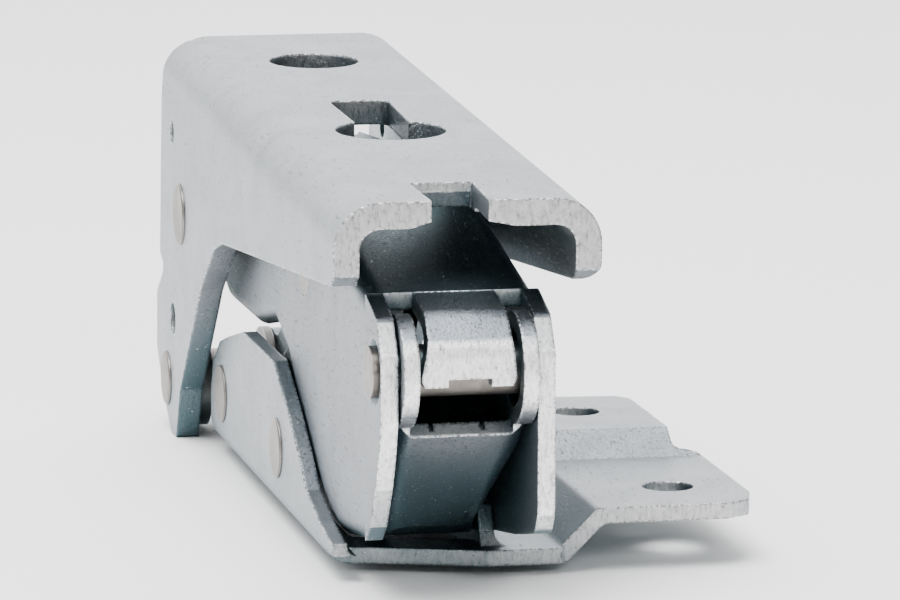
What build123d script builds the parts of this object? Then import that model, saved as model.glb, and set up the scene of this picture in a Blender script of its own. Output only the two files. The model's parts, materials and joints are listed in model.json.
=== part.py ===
from build123d import *
import math
import os

os.makedirs("parts", exist_ok=True)

# The origin is the centre of the near screw hole, on the underside of the screw flange.
# Sketches use hinge coordinates: across from the centre plane, back from the near end,
# and up from the bracket's underside.
screw_across = 30.8
screw_back = 30.7
screw_up = 4.5

# Pivots, as (back, up).
front_pivot = (4.2, 26.3)
bracket_front_pivot = (55.8, 8.0)
bracket_rear_pivot = (96.5, 7.5)
cross_pivot = (49.0, 31.0)
knee_pivot = (65.0, 7.0)
door_upper_pivot = (109.0, 29.1)
door_lower_pivot = (120.6, 5.5)

# Pins and fits.
pin_radius = 3.0
knee_pin_radius = 2.5
turning_fit = 0.05
open_eye_radius = 4.5
head_height = 0.35

# Door channel.
channel_half = 15.5
channel_wall = 3.0
channel_web = 3.1
channel_bend = 5.4
channel_length = 118.5
channel_height = 46.3
channel_tilt = 2.36
key_circle = (0.0, 45.7)
key_circle_radius = 6.7
key_slot_end = 67.0
key_slot_near = 6.4
key_slot_far = 7.4
far_hole = (0.0, 96.9)
far_hole_radius = 5.75

# Cabinet bracket.
bracket_sheet = 1.9
left_wall_outer = -12.2
left_wall_inner = -10.4
right_wall_inner = 6.0
right_wall_outer = 7.8
lanced_bend = 1.5
near_tab_top = 6.4
far_tab_top = 9.3
near_screw = (30.8, 30.7)
near_screw_radius = 3.1
far_screw = (27.5, 65.7)
far_screw_radius = 3.0

# Main link.
main_half = 10.1
main_sheet = 2.0
main_inner = main_half - main_sheet
window_back = 9.4
web_back = 103.0

# Front link.
front_sheet = 1.8
front_wide = 7.8
front_narrow = 5.7

# Hidden links.
cross_inner = 1.7
cross_outer = 3.6
rear_half = 1.4


def side_at(across):
    """Plane facing +X at a distance across from the hinge's centre plane."""
    return Plane(
        origin=(across - screw_across, -screw_back, -screw_up),
        x_dir=(0, 1, 0),
        z_dir=(1, 0, 0),
    )


def top_at(up):
    """Plane facing up at a height above the bracket's underside."""
    return Plane(
        origin=(-screw_across, -screw_back, up - screw_up),
        x_dir=(1, 0, 0),
        z_dir=(0, 0, 1),
    )


def facing_front_at(back):
    """Plane facing the near end, with its x along +X."""
    return Plane(
        origin=(-screw_across, back - screw_back, -screw_up),
        x_dir=(1, 0, 0),
        z_dir=(0, -1, 0),
    )


tilt = math.radians(channel_tilt)
channel_along = (0, math.cos(tilt), math.sin(tilt))
channel_up = (0, -math.sin(tilt), math.cos(tilt))
channel_start = Vector(-screw_across, -screw_back, channel_height - screw_up)


def channel_side_at(across):
    """Plane facing +X in the channel's tilted frame, whose zero is the near edge of the channel's top."""
    return Plane(origin=channel_start + Vector(across, 0, 0), x_dir=channel_along, z_dir=(1, 0, 0))


def channel_top_at(up):
    """Plane on or parallel to the channel's top."""
    return Plane(origin=channel_start + Vector(*channel_up) * up, x_dir=(1, 0, 0), z_dir=channel_up)


def in_channel(point):
    """A (back, up) pivot turned into the channel's tilted frame."""
    back, up = point
    rise = up - channel_height
    along = back * math.cos(tilt) + rise * math.sin(tilt)
    height = -back * math.sin(tilt) + rise * math.cos(tilt)
    return along, height


def turned(centre, steps, bore=0.0):
    """A turned piece along X, made of (from, to, radius) steps, with a bore if one is given."""
    with BuildPart() as piece:
        for start, end, radius in steps:
            with BuildSketch(side_at(start)):
                with Locations(centre):
                    Circle(radius)
            extrude(amount=end - start)
        if bore > 0:
            with BuildSketch(side_at(steps[0][0])):
                with Locations(centre):
                    Circle(bore)
            extrude(amount=steps[-1][1] - steps[0][0], mode=Mode.SUBTRACT)
    return piece.part


def riveted_pin(centre, start, end, radius, head_radius, left=True, right=False):
    """A pin along X with a low spread head outside start, end or both; a plain end is chamfered."""
    with BuildPart() as piece:
        with BuildSketch(side_at(start)):
            with Locations(centre):
                Circle(radius)
        extrude(amount=end - start)
        for wanted, place, height in ((left, start, -head_height), (right, end, head_height)):
            if wanted:
                with BuildSketch(side_at(place)):
                    with Locations(centre):
                        Circle(head_radius)
                extrude(amount=height)
        for wanted, index in ((left, 0), (right, -1)):
            chamfer(piece.faces().sort_by(Axis.X)[index].edges(), head_height * 0.6 if wanted else 0.25)
    return piece.part


def save(part, name):
    part.label = name
    export_step(part, "parts/" + name + ".step")


# Door channel: a U section cut to the shape of its two walls and legs.
wall_outline = [
    (0.0, 0.0),
    (118.5, 0.0),
    (120.8, -2.2),
    (122.6, -5.2),
    (123.7, -8.6),
    (124.4, -18.0),
    (125.0, -30.0),
    (122.4, -30.8),
    (122.4, -32.0),
    (127.5, -35.7),
    (127.5, -43.2),
    (124.1, -46.5),
    (119.8, -49.7),
    (115.6, -52.2),
    (111.4, -52.2),
    (108.1, -45.1),
    (100.0, -36.7),
    (92.1, -28.5),
    (82.1, -21.3),
    (75.3, -19.2),
    (1.8, -9.8),
    (0.0, -8.4),
]
with BuildPart() as door_channel:
    with BuildSketch(Plane(origin=channel_start, x_dir=(1, 0, 0), z_dir=Vector(*channel_along) * -1)):
        with BuildLine():
            FilletPolyline(
                (-channel_half, -54),
                (-channel_half, 0),
                (channel_half, 0),
                (channel_half, -54),
                radius=channel_bend,
            )
            Line((channel_half, -54), (channel_half - channel_wall, -54))
            FilletPolyline(
                (channel_half - channel_wall, -54),
                (channel_half - channel_wall, -channel_web),
                (channel_wall - channel_half, -channel_web),
                (channel_wall - channel_half, -54),
                radius=channel_bend - channel_wall,
            )
            Line((channel_wall - channel_half, -54), (-channel_half, -54))
        make_face()
    extrude(amount=-130)
    with BuildSketch(channel_side_at(-20)):
        with BuildLine():
            Polyline(*wall_outline, close=True)
        make_face()
        corners = [v for v in vertices() if v.X > 100 and v.Y < -20]
        fillet(corners, 0.5)
    extrude(amount=40, mode=Mode.INTERSECT)
    # The web stops short of the legs.
    with BuildSketch(channel_top_at(1)):
        with Locations((0, channel_length + 6)):
            Rectangle(2 * (channel_half - channel_wall), 12)
    extrude(amount=-8, mode=Mode.SUBTRACT)
    # The near notch, undercut at its back, with the web thinner on both sides of it.
    with BuildSketch(channel_top_at(1)):
        with BuildLine():
            Polyline((-4.25, -1), (-4.6, 11.2), (2.7, 11.2), (2.3, -1), close=True)
        make_face()
        fillet([v for v in vertices() if v.Y > 5], 0.5)
    extrude(amount=-8, mode=Mode.SUBTRACT)
    with BuildSketch(channel_side_at(-4.5)):
        with BuildLine():
            Polyline((11.0, -1.1), (11.2, -1.1), (12.7, -3.4), (11.0, -3.4), close=True)
        make_face()
    extrude(amount=7.0, mode=Mode.SUBTRACT)
    with BuildSketch(Plane(origin=channel_start, x_dir=(1, 0, 0), z_dir=Vector(*channel_along) * -1)):
        with BuildLine():
            Polyline((-7.0, -3.2), (-4.0, -2.3), (-4.0, -3.6), (-7.0, -3.6), close=True)
        make_face()
        with BuildLine():
            Polyline((2.0, -2.4), (6.0, -3.2), (6.0, -3.6), (2.0, -3.6), close=True)
        make_face()
    extrude(amount=-9, mode=Mode.SUBTRACT)
    # The keyhole and the round hole.
    with BuildSketch(channel_top_at(1)):
        with Locations(key_circle):
            Circle(key_circle_radius)
        with BuildLine():
            Polyline(
                (-key_slot_near / 2, key_circle[1]),
                (-key_slot_far / 2, key_slot_end),
                (key_slot_far / 2, key_slot_end),
                (key_slot_near / 2, key_circle[1]),
                close=True,
            )
        make_face()
        fillet([v for v in vertices() if v.Y > key_slot_end - 0.5], 1.6)
        with Locations(far_hole):
            Circle(far_hole_radius)
    extrude(amount=-8, mode=Mode.SUBTRACT)
    # Rivet holes and two small tooling holes through both walls.
    with BuildSketch(channel_side_at(-20)):
        with Locations(in_channel(door_upper_pivot), in_channel(door_lower_pivot)):
            Circle(pin_radius)
        with Locations((114.9, -12.0)):
            Circle(1.5)
        with Locations((114.0, -36.7)):
            Circle(2.1)
    extrude(amount=40, mode=Mode.SUBTRACT)
    # The right wall's near lip is rounded on its outside.
    lower = [
        e
        for e in door_channel.edges()
        if abs(e.center().X + screw_across - channel_half) < 0.01 and 60 < e.length < 80
    ]
    fillet(lower, 2.0)
save(door_channel.part, "door_channel")

# Cabinet bracket: base, ramp and screw flange in one sheet, with a bent-up wall each side of the links.
sheet = bracket_sheet
near_section = [
    (8.0, 0.0),
    (15.9, 0.0),
    (20.4, near_tab_top - sheet),
    (41.0, near_tab_top - sheet),
    (41.0, near_tab_top),
    (19.6, near_tab_top),
    (15.1, sheet),
    (8.0, sheet),
]
far_section = [
    (8.0, 0.0),
    (15.9, 0.0),
    (23.3, far_tab_top - sheet),
    (41.0, far_tab_top - sheet),
    (41.0, far_tab_top),
    (22.5, far_tab_top),
    (15.1, sheet),
    (8.0, sheet),
]
flange_outline = [
    (6.0, 19.0),
    (15.2, 19.0),
    (15.2, 19.5),
    (35.6, 19.5),
    (38.4, 21.4),
    (39.6, 25.6),
    (39.6, 49.7),
    (36.3, 50.6),
    (36.3, 73.5),
    (34.8, 75.4),
    (20.0, 77.0),
    (15.4, 80.5),
    (13.5, 84.5),
    (6.0, 85.5),
]
wall_top = [
    (27.4, 4.5),
    (36.0, 6.5),
    (42.0, 10.3),
    (48.8, 14.0),
    (58.4, 18.3),
    (80.0, 18.3),
    (90.8, 15.9),
    (97.9, 14.1),
    (103.2, 10.6),
    (105.2, 5.6),
    (105.2, 1.9),
    (110.0, 1.9),
    (110.0, 30.0),
    (10.0, 30.0),
]
above_left_wall = [(10.0, 3.4), (20.4, 3.4), *wall_top]
above_right_wall = [(10.0, 1.9), (21.5, 1.9), (23.6, 6.6), (36.0, 7.4), *wall_top[2:]]
with BuildPart() as cabinet_bracket:
    with BuildSketch(facing_front_at(19)):
        with BuildLine():
            Polyline(*near_section, close=True)
        make_face()
        fillet([v for v in vertices() if 14 < v.X < 21], 1.4)
    extrude(amount=-30.2)
    with BuildSketch(facing_front_at(53.7)):
        with BuildLine():
            Polyline(*far_section, close=True)
        make_face()
        fillet([v for v in vertices() if 14 < v.X < 24], 1.4)
    extrude(amount=-32)
    with BuildSketch(facing_front_at(49.2)):
        with BuildLine():
            Polyline(*near_section, close=True)
        make_face()
        fillet([v for v in vertices() if 14 < v.X < 21], 1.4)
    with BuildSketch(facing_front_at(53.7)):
        with BuildLine():
            Polyline(*far_section, close=True)
        make_face()
        fillet([v for v in vertices() if 14 < v.X < 24], 1.4)
    loft(ruled=True)
    with BuildSketch(top_at(-1)):
        with BuildLine():
            Polyline(*flange_outline, close=True)
        make_face()
        fillet([v for v in vertices() if v.X > 16], 1.2)
    extrude(amount=14, mode=Mode.INTERSECT)
    # The base under the links and both walls, with their bend radii.
    with BuildSketch(facing_front_at(19)):
        with BuildLine():
            Polyline(
                (left_wall_outer, 24),
                (left_wall_outer, 0),
                (12.0, 0),
                (12.0, bracket_sheet),
                (right_wall_outer, bracket_sheet),
                (right_wall_outer, 24),
                (right_wall_inner, 24),
                (right_wall_inner, bracket_sheet),
                (left_wall_inner, bracket_sheet),
                (left_wall_inner, 24),
                close=True,
            )
        make_face()
        fillet([v for v in vertices() if v.Y < 1 and v.X < 0], 2.9)
        fillet([v for v in vertices() if abs(v.Y - bracket_sheet) < 0.1 and v.X < -9], 1.1)
        fillet([v for v in vertices() if abs(v.Y - bracket_sheet) < 0.1 and 7 < v.X < 9], lanced_bend)
    extrude(amount=-86)
    for outline, start in ((above_left_wall, -14.0), (above_right_wall, 4.0)):
        with BuildSketch(side_at(start)):
            with BuildLine():
                Polyline(*outline, close=True)
            make_face()
        extrude(amount=7.0, mode=Mode.SUBTRACT)
    # The base's near edge runs back towards the left wall.
    with BuildSketch(top_at(-1)):
        with BuildLine():
            Polyline((6.4, 18.0), (6.4, 19.0), (-7.0, 23.6), (-14.0, 24.4), (-14.0, 18.0), close=True)
        make_face()
    extrude(amount=1 + bracket_sheet, mode=Mode.SUBTRACT)
    # The right wall is lanced up out of this window.
    with BuildSketch(top_at(-1)):
        with BuildLine():
            Polyline((-8.0, 30.0), (6.0, 26.0), (6.0, 97.0), (-8.0, 97.0), close=True)
        make_face()
        fillet([v for v in vertices() if v.X < 0], 1.5)
    extrude(amount=4, mode=Mode.SUBTRACT)
    # Pin holes through both walls, then the screw holes.
    with BuildSketch(side_at(-20)):
        with Locations(bracket_front_pivot, bracket_rear_pivot):
            Circle(pin_radius)
    extrude(amount=32, mode=Mode.SUBTRACT)
    with BuildSketch(top_at(-1)):
        with Locations(near_screw):
            Circle(near_screw_radius)
        with Locations(far_screw):
            Circle(far_screw_radius)
    extrude(amount=14, mode=Mode.SUBTRACT)
save(cabinet_bracket.part, "cabinet_bracket")

# Main link: a U open downwards, with a tongue curled down in front of the front pin.
main_outline = [
    (0.0, 10.0),
    (1.6, 7.4),
    (11.8, 5.2),
    (26.5, 2.9),
    (31.5, 3.2),
    (49.3, 10.1),
    (60.2, 18.1),
    (70.0, 21.2),
    (84.7, 18.4),
    (104.0, 18.2),
    (114.0, 21.4),
    (118.0, 27.6),
    (116.4, 34.0),
    (109.0, 39.4),
    (97.0, 40.2),
    (41.0, 40.2),
    (8.5, 34.3),
    (2.8, 32.6),
    (0.0, 28.6),
]
with BuildPart() as main_link:
    with BuildSketch(side_at(-main_half)):
        with BuildLine():
            FilletPolyline(*main_outline, radius=1.6, close=True)
        make_face()
    extrude(amount=2 * main_half)
    roof = [
        e
        for e in main_link.edges()
        if abs(abs(e.center().X + screw_across) - main_half) < 0.01
        and e.center().Z + screw_up > 29
        and e.center().Y + screw_back < 112
    ]
    fillet(roof, 2.4)
    # The plates keep square edges in front of the web.
    with BuildSketch(side_at(-main_half)):
        with BuildLine():
            FilletPolyline(*main_outline, radius=1.6, close=True)
        make_face()
        with Locations((window_back + 75, 20)):
            Rectangle(150, 60, mode=Mode.SUBTRACT)
    extrude(amount=2 * main_half)
    # Everything below the web, and the open ends, go.
    with BuildSketch(side_at(-main_inner)):
        with BuildLine():
            Polyline(
                (-5.0, -2.0),
                (-5.0, 45.0),
                (window_back, 45.0),
                (window_back, 32.4),
                (41.2, 38.2),
                (web_back, 38.2),
                (web_back, 45.0),
                (125.0, 45.0),
                (125.0, -2.0),
                close=True,
            )
        make_face()
    extrude(amount=2 * main_inner, mode=Mode.SUBTRACT)
    # The tongue starts from the web and curls down in front of the front pin.
    with BuildSketch(side_at(-5.65)):
        with BuildLine():
            Polyline(
                (10.4, 34.55),
                (2.6, 33.2),
                (-1.1, 29.6),
                (-1.1, 25.1),
                (0.9, 25.1),
                (0.9, 28.9),
                (3.6, 31.4),
                (10.4, 32.6),
                close=True,
            )
        make_face()
        fillet([v for v in vertices() if v.X < 3 and v.Y > 29.3 and (v.X < 0 or v.Y > 33)], 3.0)
        fillet([v for v in vertices() if 0 < v.X < 4 and 28 < v.Y < 32], 1.0)
    extrude(amount=11.05)
    with BuildSketch(facing_front_at(-3)):
        with Locations((0, 25.0)):
            Rectangle(5.0, 2.0)
        with BuildLine():
            Polyline(
                (-8.0, 37.0),
                (-4.5, 37.0),
                (-4.7, 30.5),
                (-5.65, 26.0),
                (-5.1, 24.9),
                (-8.0, 24.0),
                close=True,
            )
        make_face()
        with BuildLine():
            Polyline(
                (8.0, 37.0),
                (4.9, 37.0),
                (5.0, 30.5),
                (5.4, 26.0),
                (4.9, 24.9),
                (8.0, 24.0),
                close=True,
            )
        make_face()
    extrude(amount=-window_back - 3, mode=Mode.SUBTRACT)
    with BuildSketch(side_at(-12)):
        with Locations(front_pivot):
            Circle(pin_radius)
        with Locations(cross_pivot, door_upper_pivot):
            Circle(pin_radius + turning_fit)
    extrude(amount=24, mode=Mode.SUBTRACT)
    # The left plate's front edge falls back towards its foot, and its pin hole is flared.
    with BuildSketch(side_at(-12)):
        with BuildLine():
            Polyline(
                (-3.0, 21.0),
                (0.0, 21.0),
                (1.2, 17.0),
                (3.3, 12.7),
                (6.6, 7.8),
                (9.4, 5.6),
                (9.4, 1.0),
                (-3.0, 1.0),
                close=True,
            )
        make_face()
    extrude(amount=6, mode=Mode.SUBTRACT)
    with BuildSketch(side_at(-main_half - 0.01)):
        with Locations(front_pivot):
            Circle(3.9)
    extrude(amount=0.9, taper=45, mode=Mode.SUBTRACT)
save(main_link.part, "main_link")

# Front link: a small U whose web runs down and back from under the front pin.
web_start = (3.85, 18.6)
web_slope = math.atan2(13.8, 16.75)
web_along = (0, math.cos(web_slope), -math.sin(web_slope))
front_outline = [
    (3.85, 18.6),
    (20.6, 4.8),
    (24.0, 3.2),
    (30.0, 2.7),
    (55.8, 2.7),
    (58.0, 13.2),
    (6.3, 32.4),
    (1.0, 30.0),
]


def web_section_at(along):
    """Plane square to the front link's sloping web, a distance along it from its top edge."""
    start = Vector(-screw_across, web_start[0] - screw_back, web_start[1] - screw_up)
    return Plane(origin=start + Vector(*web_along) * along, x_dir=(1, 0, 0), z_dir=Vector(*web_along) * -1)


with BuildPart() as front_link:
    for along, half in ((-16.0, front_wide), (5.0, front_wide), (22.0, front_narrow), (62.0, front_narrow)):
        with BuildSketch(web_section_at(along)):
            with BuildLine():
                Polyline(
                    (-half, 60),
                    (-half, 0),
                    (half, 0),
                    (half, 60),
                    (half - front_sheet, 60),
                    (half - front_sheet, front_sheet),
                    (front_sheet - half, front_sheet),
                    (front_sheet - half, 60),
                    close=True,
                )
            make_face()
            fillet([v for v in vertices() if abs(v.Y) < 0.1], 2.6)
            fillet([v for v in vertices() if abs(v.Y - front_sheet) < 0.1], 0.9)
    loft(ruled=True)
    with BuildSketch(side_at(-10)):
        with BuildLine():
            Polyline(*front_outline, close=True)
        make_face()
        with Locations(front_pivot):
            Circle(6.5)
        with Locations(bracket_front_pivot):
            Circle(5.3)
    extrude(amount=20, mode=Mode.INTERSECT)
    # Round ears carry the front pin.
    for start in (-front_wide, front_wide - front_sheet):
        with BuildSketch(side_at(start)):
            with Locations(front_pivot):
                Circle(6.5)
        extrude(amount=front_sheet)
    # The web's top edge is cut back square between the ears, with two shear marks.
    with BuildSketch(web_section_at(0)):
        with Locations((0, 0)):
            Rectangle(2 * (front_wide - front_sheet), 12)
    extrude(amount=12, mode=Mode.SUBTRACT)
    with BuildSketch(web_section_at(0.5)):
        with Locations((-3.4, 1.4), (2.6, 1.4)):
            Rectangle(0.5, 1.2)
    extrude(amount=1, mode=Mode.SUBTRACT)
    with BuildSketch(side_at(-10)):
        with Locations(front_pivot):
            Circle(open_eye_radius)
        with Locations(bracket_front_pivot):
            Circle(pin_radius + turning_fit)
    extrude(amount=20, mode=Mode.SUBTRACT)
save(front_link.part, "front_link")

# Cross link: two plates joining the rear bracket pin, the cross pin and the knee pin.
for name, start in (("cross_link_left", -cross_outer), ("cross_link_right", cross_inner)):
    with BuildPart() as cross_plate:
        with BuildSketch(side_at(start)):
            with Locations(cross_pivot):
                Circle(5.2)
            with Locations(knee_pivot):
                Circle(4.6)
            with Locations(bracket_rear_pivot):
                Circle(5.2)
            make_hull()
            with Locations(bracket_front_pivot):
                Circle(pin_radius + 0.6, mode=Mode.SUBTRACT)
            with Locations(cross_pivot):
                Circle(pin_radius, mode=Mode.SUBTRACT)
            with Locations(knee_pivot):
                Circle(knee_pin_radius, mode=Mode.SUBTRACT)
            with Locations(bracket_rear_pivot):
                Circle(pin_radius + turning_fit, mode=Mode.SUBTRACT)
        extrude(amount=cross_outer - cross_inner)
    save(cross_plate.part, name)

# Rear link: one plate that arches over the rear bracket pin.
rear_outline = [
    (65.0, 2.9),
    (66.5, 11.0),
    (76.0, 16.6),
    (88.0, 18.6),
    (104.0, 18.2),
    (116.0, 11.6),
    (121.0, 11.0),
    (121.0, 0.2),
    (65.5, 2.6),
]
with BuildPart() as rear_link:
    with BuildSketch(side_at(-rear_half)):
        with BuildLine():
            Polyline(*rear_outline, close=True)
        make_face()
        with Locations(knee_pivot):
            Circle(4.4)
        with Locations(door_lower_pivot):
            Circle(6.2)
        with Locations(bracket_rear_pivot):
            Circle(4.9, mode=Mode.SUBTRACT)
        with BuildLine():
            Polyline((82.0, -2.0), (91.6, 7.5), (101.4, 7.5), (110.0, -2.0), close=True)
        make_face(mode=Mode.SUBTRACT)
        with Locations(knee_pivot):
            Circle(knee_pin_radius + turning_fit, mode=Mode.SUBTRACT)
        with Locations(door_lower_pivot):
            Circle(open_eye_radius, mode=Mode.SUBTRACT)
    extrude(amount=2 * rear_half)
save(rear_link.part, "rear_link")

# Pins and rivets.
for name, pivot in (("bracket_front_pin", bracket_front_pivot), ("bracket_rear_pin", bracket_rear_pivot)):
    save(riveted_pin(pivot, left_wall_outer, right_wall_outer, pin_radius, 3.7), name)
save(turned(front_pivot, [(-main_half - 0.7, main_half, pin_radius)]), "front_pin")
save(turned(cross_pivot, [(-main_half, main_half, pin_radius)]), "cross_pin")
save(turned(knee_pivot, [(-cross_outer, cross_outer, knee_pin_radius)]), "knee_pin")
left_rivet = riveted_pin(door_upper_pivot, -channel_half, -main_inner, pin_radius, 4.0)
save(left_rivet, "door_upper_rivet_left")
right_rivet = riveted_pin(door_upper_pivot, main_inner, channel_half, pin_radius, 4.0, left=False, right=True)
save(right_rivet, "door_upper_rivet_right")
lower_pin = riveted_pin(door_lower_pivot, -channel_half, channel_half, pin_radius, 3.6, right=True)
save(lower_pin, "door_lower_pin")

# Sleeves, collars, spacers and washers on those pins, as (pivot, from, to, outer radius).
channel_inner = channel_half - channel_wall
rings = {
    "bracket_front_sleeve": (bracket_front_pivot, left_wall_inner, -front_narrow - 0.2, 4.4),
    "bracket_rear_sleeve_left": (bracket_rear_pivot, left_wall_inner, -cross_outer - 0.2, 4.4),
    "bracket_rear_sleeve_right": (bracket_rear_pivot, cross_outer + 0.2, right_wall_inner, 4.4),
    "cross_spacer": (cross_pivot, -cross_inner, cross_inner, 4.4),
    "cross_sleeve_left": (cross_pivot, -main_inner + 0.2, -cross_outer, 4.4),
    "cross_sleeve_right": (cross_pivot, cross_outer, main_inner - 0.2, 4.4),
    "door_upper_collar_left": (door_upper_pivot, -channel_inner, -main_half - 0.2, 5.4),
    "door_upper_collar_right": (door_upper_pivot, main_half + 0.2, channel_inner, 5.4),
    "door_lower_collar_left": (door_lower_pivot, -channel_inner, -main_half - 0.3, 6.4),
    "door_lower_collar_right": (door_lower_pivot, main_half + 0.3, channel_inner, 6.4),
    "door_lower_sleeve_left": (door_lower_pivot, -main_half - 0.3, -2.9, 3.7),
    "door_lower_sleeve_right": (door_lower_pivot, 2.9, main_half + 0.3, 3.7),
    "door_lower_washer_left": (door_lower_pivot, -2.9, -1.7, 6.4),
    "door_lower_washer_right": (door_lower_pivot, 1.7, 2.9, 6.4),
}
for name, (pivot, start, end, outer) in rings.items():
    save(turned(pivot, [(start, end, outer)], pin_radius), name)
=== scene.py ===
import json
import math

import bpy
from mathutils import Matrix, Vector


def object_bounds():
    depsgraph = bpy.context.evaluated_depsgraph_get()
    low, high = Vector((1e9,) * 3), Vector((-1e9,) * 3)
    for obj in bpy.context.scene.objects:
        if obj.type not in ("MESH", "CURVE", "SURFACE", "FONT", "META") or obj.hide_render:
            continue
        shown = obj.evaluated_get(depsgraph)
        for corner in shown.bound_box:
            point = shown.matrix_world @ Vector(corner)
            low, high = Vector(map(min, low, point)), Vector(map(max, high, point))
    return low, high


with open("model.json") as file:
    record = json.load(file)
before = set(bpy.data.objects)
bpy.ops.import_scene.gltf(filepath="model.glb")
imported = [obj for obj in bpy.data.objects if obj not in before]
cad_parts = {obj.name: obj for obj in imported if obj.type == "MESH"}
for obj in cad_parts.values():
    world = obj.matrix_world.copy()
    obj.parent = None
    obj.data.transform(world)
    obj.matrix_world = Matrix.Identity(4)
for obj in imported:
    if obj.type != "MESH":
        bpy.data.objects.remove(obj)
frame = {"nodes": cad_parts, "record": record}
cad_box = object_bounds()
nodes = frame["nodes"]

MM = 0.001


# ---------- camera ----------
CAMERA_AIM = Vector((-33.234, -32.062, 30.719)) * MM
CAMERA_DISTANCE = 675.45 * MM
CAMERA_AZIMUTH = math.radians(11.671)
CAMERA_ELEVATION = math.radians(9.359)
CAMERA_ROLL = math.radians(0.093)
CAMERA_LENS = 240.04
CAMERA_SENSOR = 36.0

look = Vector((
    math.sin(CAMERA_AZIMUTH) * math.cos(CAMERA_ELEVATION),
    math.cos(CAMERA_AZIMUTH) * math.cos(CAMERA_ELEVATION),
    -math.sin(CAMERA_ELEVATION),
))
level_right = Vector((math.cos(CAMERA_AZIMUTH), -math.sin(CAMERA_AZIMUTH), 0.0))
level_up = level_right.cross(look)
right = level_right * math.cos(CAMERA_ROLL) + level_up * math.sin(CAMERA_ROLL)
up = level_up * math.cos(CAMERA_ROLL) - level_right * math.sin(CAMERA_ROLL)
camera_data = bpy.data.cameras.new("camera")
camera_data.lens = CAMERA_LENS
camera_data.sensor_width = CAMERA_SENSOR
camera_data.clip_start = 0.01
camera_data.clip_end = 20.0
camera = bpy.data.objects.new("camera", camera_data)
turn = Matrix((right, up, -look)).transposed().to_4x4()
camera.matrix_world = Matrix.Translation(CAMERA_AIM - look * CAMERA_DISTANCE) @ turn
bpy.context.scene.collection.objects.link(camera)
bpy.context.scene.camera = camera


# ---------- node helpers ----------
def grey(level):
    return (level, level, level)


class Nodes:
    """Adds nodes to a shader tree. The methods from ramp on return the outputs to link next."""

    def __init__(self, tree):
        self.tree = tree

    def add(self, kind, **values):
        """A new node with its settings and unlinked inputs filled in."""
        node = self.tree.nodes.new(kind)
        for key, value in values.items():
            if key in node.inputs:
                node.inputs[key].default_value = value
            else:
                setattr(node, key, value)
        return node

    def link(self, output, socket):
        self.tree.links.new(output, socket)

    def feed(self, value, socket):
        """Links an output to a socket, or sets a plain number or colour on it."""
        if isinstance(value, (int, float)):
            socket.default_value = value
        elif isinstance(value, tuple):
            socket.default_value = (*value, 1.0)
        else:
            self.link(value, socket)

    def ramp(self, source, stops):
        """A colour ramp over source, with (position, colour) stops."""
        node = self.add("ShaderNodeValToRGB")
        elements = node.color_ramp.elements
        while len(elements) < len(stops):
            elements.new(0.5)
        for element, (position, colour) in zip(elements, stops):
            element.position = position
            element.color = (*colour, 1.0)
        self.link(source, node.inputs["Fac"])
        return node.outputs["Color"]

    def step(self, source, zero_at, one_at):
        """Rises from 0 to 1 between two levels of source, or falls when one_at is the lower of them."""
        return self.ramp(source, sorted([(zero_at, grey(0.0)), (one_at, grey(1.0))]))

    def noise(self, place, scale, detail, roughness, distortion=0.0):
        node = self.add(
            "ShaderNodeTexNoise", Scale=scale, Detail=detail, Roughness=roughness, Distortion=distortion
        )
        self.link(place, node.inputs["Vector"])
        return node.outputs["Fac"]

    def stretched(self, place, scale, rotation=(0.0, 0.0, 0.0)):
        node = self.add("ShaderNodeMapping", Scale=scale, Rotation=rotation)
        self.link(place, node.inputs["Vector"])
        return node.outputs["Vector"]

    def maths(self, operation, first, second):
        node = self.add("ShaderNodeMath", operation=operation)
        self.feed(first, node.inputs[0])
        self.feed(second, node.inputs[1])
        return node.outputs[0]

    def product(self, first, second):
        return self.maths("MULTIPLY", first, second)

    def blend(self, factor, first, second):
        """Colour first blended towards second; either may be a plain colour."""
        node = self.add("ShaderNodeMix", data_type="RGBA")
        self.link(factor, node.inputs[0])
        self.feed(first, node.inputs[6])
        self.feed(second, node.inputs[7])
        return node.outputs[2]

    def sheltered(self, reach):
        """Mask for painted shade: 1 deep in gaps and under other pieces, 0 in the open, over a distance of
        reach.
        """
        shade = self.add("ShaderNodeAmbientOcclusion", samples=8, Distance=reach)
        return self.maths("SUBTRACT", 1.0, shade.outputs["AO"])

    def rounded_edges(self, radius):
        """Normals that turn over sharp edges, and a mask that is 1 on an edge and 0 a radius away from it."""
        rounded = self.add("ShaderNodeBevel", samples=6, Radius=radius)
        true_normal = self.add("ShaderNodeNewGeometry")
        agree = self.add("ShaderNodeVectorMath", operation="DOT_PRODUCT")
        self.link(rounded.outputs["Normal"], agree.inputs[0])
        self.link(true_normal.outputs["Normal"], agree.inputs[1])
        return rounded.outputs["Normal"], self.step(agree.outputs["Value"], 0.995, 0.90)


class Metal(Nodes):
    """A bare metal material, with the place and the normal on the object."""

    def __init__(self, name):
        self.material = bpy.data.materials.new(name)
        self.material.use_nodes = True
        super().__init__(self.material.node_tree)
        self.shader = self.tree.nodes["Principled BSDF"]
        self.shader.inputs["Metallic"].default_value = 1.0
        coordinates = self.add("ShaderNodeTexCoord")
        self.place = coordinates.outputs["Object"]
        self.normal = coordinates.outputs["Normal"]

    def surface(self, colour, roughness, edge_normal, height, strength, depth):
        """Links the colour, the roughness and a relief of that strength and depth to the shader."""
        self.link(colour, self.shader.inputs["Base Color"])
        self.link(roughness, self.shader.inputs["Roughness"])
        relief = self.add("ShaderNodeBump", Strength=strength, Distance=depth)
        self.link(edge_normal, relief.inputs["Normal"])
        self.link(height, relief.inputs["Height"])
        self.link(relief.outputs["Normal"], self.shader.inputs["Normal"])
        return self.material


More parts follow.
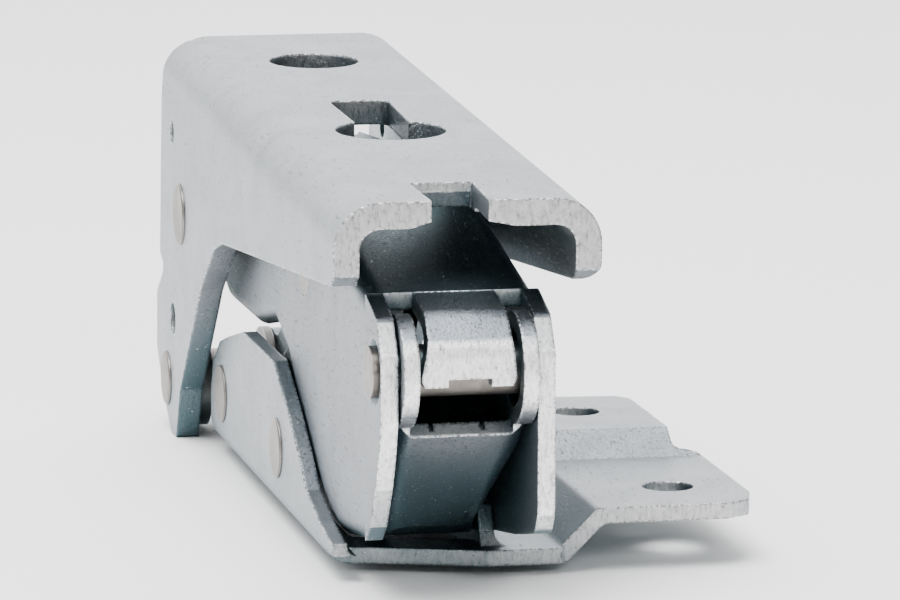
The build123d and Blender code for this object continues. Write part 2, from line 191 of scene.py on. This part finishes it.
# ---------- materials ----------
# Noise scales, in features per metre.
CLOUD_SCALE = 110.0
GRAIN_SCALE = 2600.0
PIT_SCALE = 1700.0
GLINT_SCALE = 2900.0
STAIN_SCALE = 500.0
SCRATCH_SCALES = (2600.0, 420.0, 2600.0)
TORN_SCALES = (2300.0, 2300.0, 900.0)
RING_SCALES = (6000.0, 60.0, 60.0)

SCRATCH_ANGLES = (0.35, -0.9)
# How bright a torn face is from its pits to its peaks, as (noise level, share of its full brightness).
TORN_SHARES = [(0.33, 0.38), (0.42, 0.72), (0.52, 0.90), (0.62, 1.0)]

NICK = grey(0.06)
PIT = grey(0.08)
# Edge colours: a dark painted burr shadow, and bright polish with a painted highlight.
BURR_SHADOW = grey(0.08)
POLISH_AND_HIGHLIGHT = grey(0.92)
GLINT = grey(0.75)
BARE_STEEL = (0.70, 0.69, 0.67)
# Dark teal of the painted shade in gaps and under other pieces.
PAINTED_SHADE_TEAL = (0.062, 0.118, 0.138)

SHEET_EDGE = 0.5 * MM
SHEET_RELIEF = 0.25 * MM
# Reach of the painted shade on sheets.
SHEET_SHADE_REACH = 22.0 * MM
PIN_EDGE = 0.3 * MM
PIN_RELIEF = 0.1 * MM
# Reach of the painted shade on pins.
PIN_SHADE_REACH = 12.0 * MM


def plated(name, dark, light, sheared, nicks):
    """Zinc-plated pressed steel: mottled bluish silver, brighter and pitted where the press sheared it,
    its edges speckled with polish, painted highlights and painted burr shadows, and dull and dark with
    painted shade where other pieces shelter it."""
    metal = Metal(name)
    cloud = metal.noise(metal.place, CLOUD_SCALE, 6.0, 0.7, 0.6)
    grain = metal.noise(metal.place, GRAIN_SCALE, 4.0, 0.65)
    colour = metal.ramp(cloud, [(0.30, dark), (0.62, light)])
    colour = metal.blend(metal.step(grain, 0.52, 0.30), colour, tuple(0.72 * level for level in dark))
    # Short dark nicks and scratches in two crossing directions.
    lines = []
    for angle in SCRATCH_ANGLES:
        along = metal.stretched(metal.place, SCRATCH_SCALES, (angle, angle, 0.0))
        lines.append(metal.noise(along, 1.0, 3.0, 0.6))
    scratch = metal.step(metal.maths("MAXIMUM", *lines), 0.645, 0.69)
    colour = metal.blend(metal.product(scratch, nicks), colour, NICK)
    # Faces that look towards the near end count as cut across the sheet.
    facing = metal.add("ShaderNodeSeparateXYZ")
    metal.link(metal.normal, facing.inputs[0])
    cut = metal.step(metal.product(facing.outputs["Y"], -1.0), 0.72, 0.90)
    torn = metal.noise(metal.stretched(metal.place, TORN_SCALES), 1.0, 6.0, 0.72)
    torn_colour = metal.ramp(torn, [(level, grey(sheared * share)) for level, share in TORN_SHARES])
    colour = metal.blend(cut, colour, torn_colour)
    pits = metal.step(metal.noise(metal.place, PIT_SCALE, 3.0, 0.6), 0.66, 0.70)
    pit_share = metal.maths("ADD", metal.product(cut, 0.6), 0.15)
    colour = metal.blend(metal.product(pits, pit_share), colour, PIT)
    # Edges are polished with a painted highlight in places, and carry a dark painted burr shadow in others.
    edge_normal, edge = metal.rounded_edges(SHEET_EDGE)
    colour = metal.blend(metal.product(edge, metal.step(grain, 0.50, 0.60)), colour, POLISH_AND_HIGHLIGHT)
    colour = metal.blend(metal.product(edge, metal.step(grain, 0.50, 0.40)), colour, BURR_SHADOW)
    # Painted shade, dark teal, where other pieces or the floor are close, with a few bright glints in it.
    shade_mask = metal.step(metal.sheltered(SHEET_SHADE_REACH), 0.42, 0.74)
    colour = metal.blend(metal.product(shade_mask, 0.92), colour, PAINTED_SHADE_TEAL)
    glints = metal.step(metal.noise(metal.place, GLINT_SCALE, 2.0, 0.5), 0.70, 0.74)
    colour = metal.blend(metal.product(glints, shade_mask), colour, GLINT)
    dull = metal.ramp(grain, [(0.35, grey(0.32)), (0.65, grey(0.50))])
    roughness = metal.blend(cut, dull, grey(0.34))
    height = metal.maths("ADD", metal.product(grain, 0.30), metal.product(torn, cut))
    height = metal.maths("SUBTRACT", height, metal.product(scratch, 0.35))
    return metal.surface(colour, roughness, edge_normal, height, strength=0.6, depth=SHEET_RELIEF)


def turned_steel(name, dark, light):
    """Plain turned steel with fine rings round X and a brownish cast."""
    metal = Metal(name)
    rings = metal.noise(metal.stretched(metal.place, RING_SCALES), 1.0, 2.0, 0.6)
    stain = metal.noise(metal.place, STAIN_SCALE, 4.0, 0.6)
    colour = metal.ramp(stain, [(0.3, dark), (0.7, light)])
    edge_normal, edge = metal.rounded_edges(PIN_EDGE)
    colour = metal.blend(metal.product(edge, 0.5), colour, BARE_STEEL)
    # Painted shade, dark teal, where other pieces or the floor are close.
    shade_mask = metal.step(metal.sheltered(PIN_SHADE_REACH), 0.55, 0.95)
    colour = metal.blend(metal.product(shade_mask, 0.9), colour, PAINTED_SHADE_TEAL)
    roughness = metal.ramp(rings, [(0.3, grey(0.28)), (0.7, grey(0.46))])
    return metal.surface(colour, roughness, edge_normal, rings, strength=0.25, depth=PIN_RELIEF)


# zinc_link's tones are set darker than the other sheets' as painted shade.
SHEETS = {
    "zinc_channel": dict(dark=(0.25, 0.275, 0.30), light=(0.345, 0.375, 0.40), sheared=0.44, nicks=0.55),
    "zinc_bracket": dict(dark=(0.24, 0.265, 0.29), light=(0.33, 0.36, 0.385), sheared=0.60, nicks=0.45),
    "zinc_link": dict(dark=(0.17, 0.19, 0.215), light=(0.25, 0.275, 0.30), sheared=0.97, nicks=0.75),
}
PINS = {
    "steel_pin": dict(dark=(0.13, 0.115, 0.10), light=(0.21, 0.19, 0.17)),
    "steel_ring": dict(dark=(0.12, 0.12, 0.12), light=(0.24, 0.23, 0.22)),
}
materials = {name: plated(name, **values) for name, values in SHEETS.items()}
materials.update({name: turned_steel(name, **values) for name, values in PINS.items()})
slot_of = {part["node"]: part["material_slot"] for part in frame["record"]["subparts"]}
for name, node in nodes.items():
    node.data.materials.clear()
    node.data.materials.append(materials[slot_of[name]])


# ---------- floor and light ----------
FLOOR_HALF = 6.0
FLOOR_GAP = 0.02 * MM
PAPER = (0.95, 0.95, 0.95, 1.0)

floor_z = cad_box[0][2] - FLOOR_GAP
corners = [(-1.0, -1.0), (1.0, -1.0), (1.0, 1.0), (-1.0, 1.0)]
floor_mesh = bpy.data.meshes.new("floor")
floor_mesh.from_pydata([(FLOOR_HALF * x, FLOOR_HALF * y, floor_z) for x, y in corners], [], [(0, 1, 2, 3)])
floor = bpy.data.objects.new("floor", floor_mesh)
bpy.context.scene.collection.objects.link(floor)
paper = bpy.data.materials.new("floor_paper")
paper.use_nodes = True
paper_shader = paper.node_tree.nodes["Principled BSDF"]
paper_shader.inputs["Base Color"].default_value = PAPER
paper_shader.inputs["Roughness"].default_value = 0.9
floor_mesh.materials.append(paper)

# The studio is brightest behind the object, 26 degrees up, and dim in front of it.
BRIGHTEST_WAY = (0.0, 0.90, 0.44)
# How bright a direction is, by how far it points that way: 0 straight against it and 1 along it.
STUDIO_GLOW = [(0.25, 0.09), (0.50, 0.17), (0.72, 0.50), (0.90, 0.68), (0.985, 1.0)]
STUDIO_STRENGTH = 3.2

world = bpy.data.worlds.new("world")
bpy.context.scene.world = world
world.use_nodes = True
sky = Nodes(world.node_tree)
alignment = sky.add("ShaderNodeVectorMath", operation="DOT_PRODUCT")
sky.link(sky.add("ShaderNodeTexCoord").outputs["Generated"], alignment.inputs[0])
alignment.inputs[1].default_value = BRIGHTEST_WAY
halved = sky.product(sky.maths("ADD", alignment.outputs["Value"], 1.0), 0.5)
glow = sky.ramp(halved, [(position, grey(level)) for position, level in STUDIO_GLOW])
background = world.node_tree.nodes["Background"]
sky.link(glow, background.inputs["Color"])
background.inputs["Strength"].default_value = STUDIO_STRENGTH

LIGHT_TARGET = Vector((-0.03, 0.02, 0.02))


def soft_light(name, place, size, power):
    """A square area light at place, aimed near the middle of the object."""
    data = bpy.data.lights.new(name, "AREA")
    data.size = size
    data.energy = power
    lamp = bpy.data.objects.new(name, data)
    lamp.location = Vector(place)
    lamp.rotation_euler = (LIGHT_TARGET - lamp.location).to_track_quat("-Z", "Y").to_euler()
    bpy.context.scene.collection.objects.link(lamp)


soft_light("light_top", place=(-0.4, -0.3, 1.6), size=1.2, power=60.0)
soft_light("light_left", place=(-0.9, -0.35, 0.4), size=0.5, power=1.5)
soft_light("light_front", place=(0.1, -0.8, 0.45), size=0.25, power=3.0)
